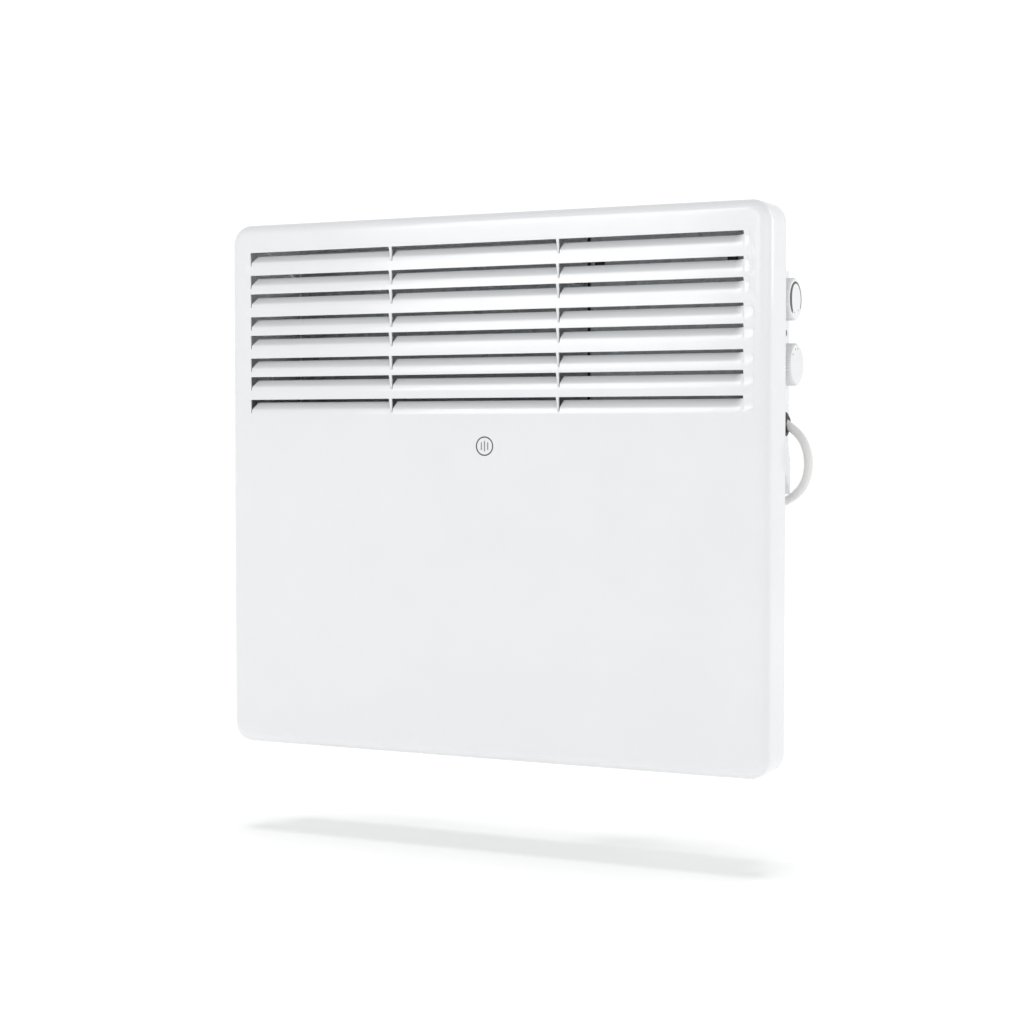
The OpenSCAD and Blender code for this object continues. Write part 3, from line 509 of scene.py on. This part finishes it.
def build_cover():
    """The pressed sheet: face, louvres, rolled edge and flange, as one skin; its thickness is added
    after.
    """
    xs, zs = face_lines()
    points, faces, known = [], [], {}

    def near(a, b):
        return abs(a - b) < 1e-6

    def corner(i, j, blade):
        x, z = xs[i], zs[j]
        if blade:
            row, column = blade
            closed = column == len(COLUMNS) - 1
            welded = near(z, ROWS[row] - BLADE_H) or (closed and near(x, COLUMNS[column][1]))
            blade = None if welded else blade
        key = (i, j, blade)
        if key not in known:
            depth = sheet_depth(x, z)
            px, pz = rounded(x, z)
            side = next((c for c, (a, b) in enumerate(COLUMNS)
                         if a - 1e-6 <= x <= b + 1e-6), None)
            if side is not None:
                px = slanted(px, z, side)
            if blade:
                row, column = blade
                rise = BLADE_H - GAPS[row]
                up = z - ROWS[row] + BLADE_H
                drawn = blade_depth(up, rise)
                if column == len(COLUMNS) - 1:
                    drawn *= math.sin(math.pi / 2 * min(1, (FIELD_HALF - x) / END_DRAW))
                depth += drawn
                px += end_cut(x, up, rise, column)
            known[key] = len(points)
            points.append((px, FACE_Y + depth, pz))
        return known[key]

    for i in range(len(xs) - 1):
        x = (xs[i] + xs[i + 1]) / 2
        column = next((c for c, (a, b) in enumerate(COLUMNS) if a < x < b), None)
        for j in range(len(zs) - 1):
            z = (zs[j] + zs[j + 1]) / 2
            row = next((r for r, top in enumerate(ROWS) if top - BLADE_H < z < top), None)
            blade = None
            if column is not None and row is not None:
                left, right = COLUMNS[column]
                last = column == len(COLUMNS) - 1
                if z > ROWS[row] - GAPS[row] or x < left + OPEN_END:
                    continue
                if not last and x > right - WEB_CRACK:
                    continue
                blade = (row, column)
            faces.append([corner(a, b, blade) for a, b in
                          ((i, j), (i + 1, j), (i + 1, j + 1), (i, j + 1))])

    nx, nz = len(xs) - 1, len(zs) - 1
    rim = [(i, 0) for i in range(nx)] + [(nx, j) for j in range(nz)]
    rim += [(i, nz) for i in range(nx, 0, -1)] + [(0, j) for j in range(nz, 0, -1)]
    roll_angles = [math.pi / 2 * k / ROLL_STEPS for k in range(1, ROLL_STEPS + 1)]
    roll = [(EDGE_ROLL * math.sin(angle), EDGE_ROLL * (1 - math.cos(angle))) for angle in roll_angles]
    flange = [(EDGE_ROLL, depth) for depth in spread(EDGE_ROLL, COVER_DEPTH, 8 * MM)[1:]]
    loop = [corner(i, j, None) for i, j in rim]
    for out, depth in roll + flange:
        fresh = []
        for i, j in rim:
            x, z = xs[i], zs[j]
            angle = corner_angle(x, z)[0]
            px, pz = rounded(x, z)
            fresh.append(len(points))
            points.append((px + math.copysign(out * math.cos(angle), x), FACE_Y + depth,
                           pz + math.copysign(out * math.sin(angle), z)))
        for k in range(len(loop)):
            after = (k + 1) % len(loop)
            faces.append([loop[k], fresh[k], fresh[after], loop[after]])
        loop = fresh
    return mesh_object("front_panel", points, faces)


panel = build_cover()
thick = panel.modifiers.new("sheet", "SOLIDIFY")
thick.thickness = SHEET
thick.offset = -1
soft_edge = panel.modifiers.new("edges", "BEVEL")
soft_edge.width = 0.3 * MM
soft_edge.segments = 2
soft_edge.limit_method = "ANGLE"
soft_edge.angle_limit = math.radians(60)
soft_edge.harden_normals = True
paint(panel, WHITE_PAINT)
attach(panel, "heater")
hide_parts("front_cover")


# ---------- knobs ----------

KNOB_BEVEL = 1.1 * MM
KNOB_BEVEL_STEPS = 5
KNOB_DISH = 0.12 * MM
KNOB_SEGMENTS = 288
RIB_DEPTH = 0.7 * MM
RIB_COUNT = 48


def turned(name, profile, axis_y, axis_z, segments, ripple, ripples):
    """A body turned about the X direction from (x, radius, ribbed) stations."""
    points, faces = [], []
    for x, radius, ribbed in profile:
        for k in range(segments):
            angle = 2 * math.pi * k / segments
            wave = ripple * ribbed * (0.5 - 0.5 * math.cos(ripples * angle))
            points.append((x, axis_y + (radius - wave) * math.cos(angle),
                           axis_z + (radius - wave) * math.sin(angle)))
    for ring in range(len(profile) - 1):
        for k in range(segments):
            a, b = ring * segments + k, ring * segments + (k + 1) % segments
            faces.append([a, b, b + segments, a + segments])
    for ring, order in ((0, -1), (len(profile) - 1, 1)):
        centre = len(points)
        points.append((profile[ring][0], axis_y, axis_z))
        for k in range(segments):
            a, b = ring * segments + k, ring * segments + (k + 1) % segments
            faces.append([a, b, centre] if order > 0 else [b, a, centre])
    return mesh_object(name, points, faces)


def build_knob(name, node, body):
    """A ribbed control knob with a bevelled rim and a slightly dished face."""
    low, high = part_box(node)
    radius = (high.z - low.z) / 2
    axis_y, axis_z = (low.y + high.y) / 2, (low.z + high.z) / 2
    profile = [(low.x + 2.5 * MM, radius - 2.2 * MM, 0), (low.x, radius - 1.6 * MM, 0),
               (low.x, radius - 0.4 * MM, 1), (low.x + 0.3 * MM, radius, 1)]
    profile += [(x, radius, 1)
                for x in spread(low.x + 1 * MM, high.x - KNOB_BEVEL - 0.3 * MM, 2 * MM)]
    for k in range(KNOB_BEVEL_STEPS + 1):
        angle = math.pi / 2 * k / KNOB_BEVEL_STEPS
        profile.append((high.x - KNOB_BEVEL + KNOB_BEVEL * math.sin(angle),
                        radius - RIB_DEPTH - KNOB_BEVEL + KNOB_BEVEL * math.cos(angle), 0))
    face_r = radius - RIB_DEPTH - KNOB_BEVEL
    face_x = high.x - KNOB_DISH
    profile += [(high.x - 0.02 * MM, face_r - 0.5 * MM, 0), (face_x, face_r - 1.2 * MM, 0),
                (face_x, 3 * MM, 0), (face_x, 0.6 * MM, 0)]
    knob = turned(name, profile, axis_y, axis_z, KNOB_SEGMENTS, RIB_DEPTH, RIB_COUNT)
    paint(knob, WHITE_PLASTIC)
    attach(knob, body)
    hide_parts(node)
    return Vector((face_x, axis_y, axis_z)), face_r


def clock(centre, radius, degrees, lift):
    """A point on a knob's face. Degrees run clockwise from the top, seen from the right."""
    angle = math.radians(degrees)
    return (centre.x + lift, centre.y + radius * math.sin(angle),
            centre.z + radius * math.cos(angle))


def print_band(name, centre, stations, body, ink):
    """A printed band on a knob's face, from (degrees, inner radius, outer radius) stations."""
    height = 0.06 * MM
    points, faces = [], []
    for degrees, inner, outer in stations:
        points += [clock(centre, inner, degrees, -height), clock(centre, inner, degrees, height),
                   clock(centre, outer, degrees, height), clock(centre, outer, degrees, -height)]
    for k in range(len(stations) - 1):
        a, b = 4 * k, 4 * k + 4
        for side in range(4):
            after = (side + 1) % 4
            faces.append([a + side, b + side, b + after, a + after])
    last = 4 * (len(stations) - 1)
    faces += [[0, 1, 2, 3], [last + 3, last + 2, last + 1, last]]
    band = mesh_object(name, points, faces, smooth_faces=False)
    paint(band, ink)
    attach(band, body)


def print_marks(name, face, radius, angles, half_angle, inner, outer, body, ink):
    """Short marks at these angles. Inner and outer are shares of the face's radius."""
    for k, degrees in enumerate(angles):
        print_band(f"{name}_{k}", face,
                   [(degrees - half_angle, inner * radius, outer * radius),
                    (degrees + half_angle, inner * radius, outer * radius)], body, ink)


thermostat_face, thermostat_r = build_knob("thermostat_cap", "thermostat_knob", "thermostat_dial")
selector_face, selector_r = build_knob("selector_cap", "selector_knob", "selector_dial")

# A crescent, widest at the front of the dial, between two end marks
CRESCENT_START = 212
CRESCENT_TURN = 270
CRESCENT_WIDEST = 270
CRESCENT_THIN = 1.2 * MM
CRESCENT_GROWS = 3.8 * MM
CRESCENT_STEPS = 48

wedge = []
for k in range(CRESCENT_STEPS + 1):
    degrees = CRESCENT_START + CRESCENT_TURN * k / CRESCENT_STEPS
    share = (0.5 + 0.5 * math.cos(math.radians(degrees - CRESCENT_WIDEST))) ** 3
    outer = 0.95 * thermostat_r
    wedge.append((degrees, outer - CRESCENT_THIN - CRESCENT_GROWS * share, outer))
print_band("thermostat_wedge", thermostat_face, wedge, "thermostat_dial", INK)
print_marks("thermostat_mark", thermostat_face, thermostat_r, (196, 140), 2.5, 0.72, 0.79,
            "thermostat_dial", INK)
print_marks("selector_mark", selector_face, selector_r, (-52, -18, 8), 3.5, 0.80, 0.89,
            "selector_dial", GREY_INK)


# ---------- printed mark on the face ----------

MARK_X = 1.7 * MM
MARK_Z = 30.2 * MM
MARK_PROUD = 0.03 * MM
RING_IN = 6.2 * MM
RING_OUT = 7.1 * MM
BAR_PITCH = 2.6 * MM
BAR_W = 0.9 * MM
BAR_HEIGHTS = [5.6 * MM, 7.6 * MM, 5.6 * MM]


def flat_ring(name, x, z, inner, outer, segments, ink):
    """A printed ring on the face, a hair proud of it."""
    points, faces = [], []
    for k in range(segments):
        angle = 2 * math.pi * k / segments
        for radius, y in ((inner, FACE_Y + MARK_PROUD), (inner, FACE_Y - MARK_PROUD),
                          (outer, FACE_Y - MARK_PROUD), (outer, FACE_Y + MARK_PROUD)):
            points.append((x + radius * math.cos(angle), y, z + radius * math.sin(angle)))
    for k in range(segments):
        a, b = 4 * k, 4 * ((k + 1) % segments)
        for side in range(4):
            after = (side + 1) % 4
            faces.append([a + side, a + after, b + after, b + side])
    piece = mesh_object(name, points, faces, smooth_faces=False)
    paint(piece, ink)
    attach(piece, "heater")


def flat_bar(name, x, z, width, height, ink):
    """A printed bar on the face."""
    points = [(x + a * width / 2, FACE_Y + y, z + b * height / 2)
              for y in (MARK_PROUD, -MARK_PROUD) for a, b in ((-1, -1), (1, -1), (1, 1), (-1, 1))]
    faces = [[3, 2, 1, 0], [4, 5, 6, 7], [0, 1, 5, 4], [1, 2, 6, 5], [2, 3, 7, 6], [3, 0, 4, 7]]
    piece = mesh_object(name, points, faces, smooth_faces=False)
    paint(piece, ink)
    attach(piece, "heater")


flat_ring("face_mark_ring", MARK_X, MARK_Z, RING_IN, RING_OUT, 64, INK)
for k, bar_height in enumerate(BAR_HEIGHTS):
    flat_bar(f"face_mark_bar_{k + 1}", MARK_X + (k - 1) * BAR_PITCH, MARK_Z, BAR_W, bar_height,
             GREY_INK)


# ---------- floor, world and lights ----------

FLOOR_DROP = 69 * MM
floor_z = -HALF_H - FLOOR_DROP
floor_half = 30.0
floor = mesh_object("floor", [(-floor_half, -floor_half, floor_z), (floor_half, -floor_half, floor_z),
                              (floor_half, floor_half, floor_z), (-floor_half, floor_half, floor_z)],
                    [[0, 1, 2, 3]], smooth_faces=False)
ground = Shader("pale_floor")
ground.set(Roughness=0.9, Emission_Color=(1, 1, 1, 1), Emission_Strength=0.38)
ground.surface.inputs["Specular IOR Level"].default_value = 0.0
ground.join(ground.ramp(ground.noise(0.5), (0.49, 0.49, 0.49), (0.51, 0.51, 0.51)),
            ground.surface.inputs["Base Color"])
paint(floor, ground.material)

world = bpy.data.worlds.new("studio")
bpy.context.scene.world = world
world.use_nodes = True
sky = world.node_tree.nodes
sky_links = world.node_tree.links
direction = sky.new("ShaderNodeTexCoord").outputs["Generated"]
split = sky.new("ShaderNodeSeparateXYZ")
sky_links.new(direction, split.inputs[0])


def sky_range(value, low, high, start, end):
    """A smooth change from start, where the value is low, to end, where it is high."""
    span = sky.new("ShaderNodeMapRange")
    span.interpolation_type = "SMOOTHSTEP"
    for name, number in (("From Min", low), ("From Max", high), ("To Min", start), ("To Max", end)):
        span.inputs[name].default_value = number
    sky_links.new(value, span.inputs["Value"])
    return span.outputs["Result"]


overhead = sky_range(split.outputs["Z"], low=0.25, high=0.9, start=1.0, end=0.82)
behind = sky_range(split.outputs["Y"], low=-0.3, high=0.6, start=0.665, end=1.0)
total = sky.new("ShaderNodeMath")
total.operation = "MULTIPLY"
sky_links.new(overhead, total.inputs[0])
sky_links.new(behind, total.inputs[1])
# The camera sees plain white behind the heater from every side
seen = sky.new("ShaderNodeMix")
seen.data_type = "FLOAT"
seen.inputs["B"].default_value = 1.06
sky_links.new(sky.new("ShaderNodeLightPath").outputs["Is Camera Ray"], seen.inputs["Factor"])
sky_links.new(total.outputs[0], seen.inputs["A"])
sky_links.new(seen.outputs["Result"], sky["Background"].inputs["Strength"])
sky["Background"].inputs["Color"].default_value = (0.985, 0.992, 1.0, 1)


def softbox(name, place, aim, width, height, radiance):
    """A soft lamp of this size, aimed at a point, with the given brightness of its face."""
    data = bpy.data.lights.new(name, "AREA")
    data.shape = "RECTANGLE"
    data.size = width
    data.size_y = height
    data.energy = radiance * math.pi * width * height
    lamp = bpy.data.objects.new(name, data)
    lamp.location = place
    lamp.rotation_euler = (Vector(aim) - Vector(place)).to_track_quat("-Z", "Y").to_euler()
    bpy.context.scene.collection.objects.link(lamp)


# name, place, aim, width, height, brightness of its face
SOFTBOXES = [
    ("left_softbox", (-0.93, FACE_Y - 2.0, 0.93), (0, FACE_Y, 0.15), 0.62, 1.1, 4.4),
    ("right_softbox", (1.70, FACE_Y + 1.89, 1.01), (HALF_W, FACE_Y, 0.1), 1.2, 1.5, 1.6),
    ("edge_box", (-0.15, FACE_Y - 2.0, 0.50), (-0.15, FACE_Y, 0.15), 0.66, 0.5, 1.8),
    ("side_box", (2.29, FACE_Y - 0.75, 0.90), (HALF_W, FACE_Y, 0.1), 1.6, 1.4, 0.8),
]
for setup in SOFTBOXES:
    softbox(*setup)

# A broad light from above, for the floor only: it gives the heater its soft shadow there
above = bpy.data.lights.new("floor_light", "SUN")
above.energy = 1.8
above.angle = math.radians(24)
above_lamp = bpy.data.objects.new("floor_light", above)
bpy.context.scene.collection.objects.link(above_lamp)
lit_by_above = bpy.data.collections.new("lit_by_floor_light")
lit_by_above.objects.link(floor)
above_lamp.light_linking.receiver_collection = lit_by_above

view = bpy.context.scene.view_settings
view.view_transform = "Standard"
view.look = "None"
view.exposure = 0
view.gamma = 1
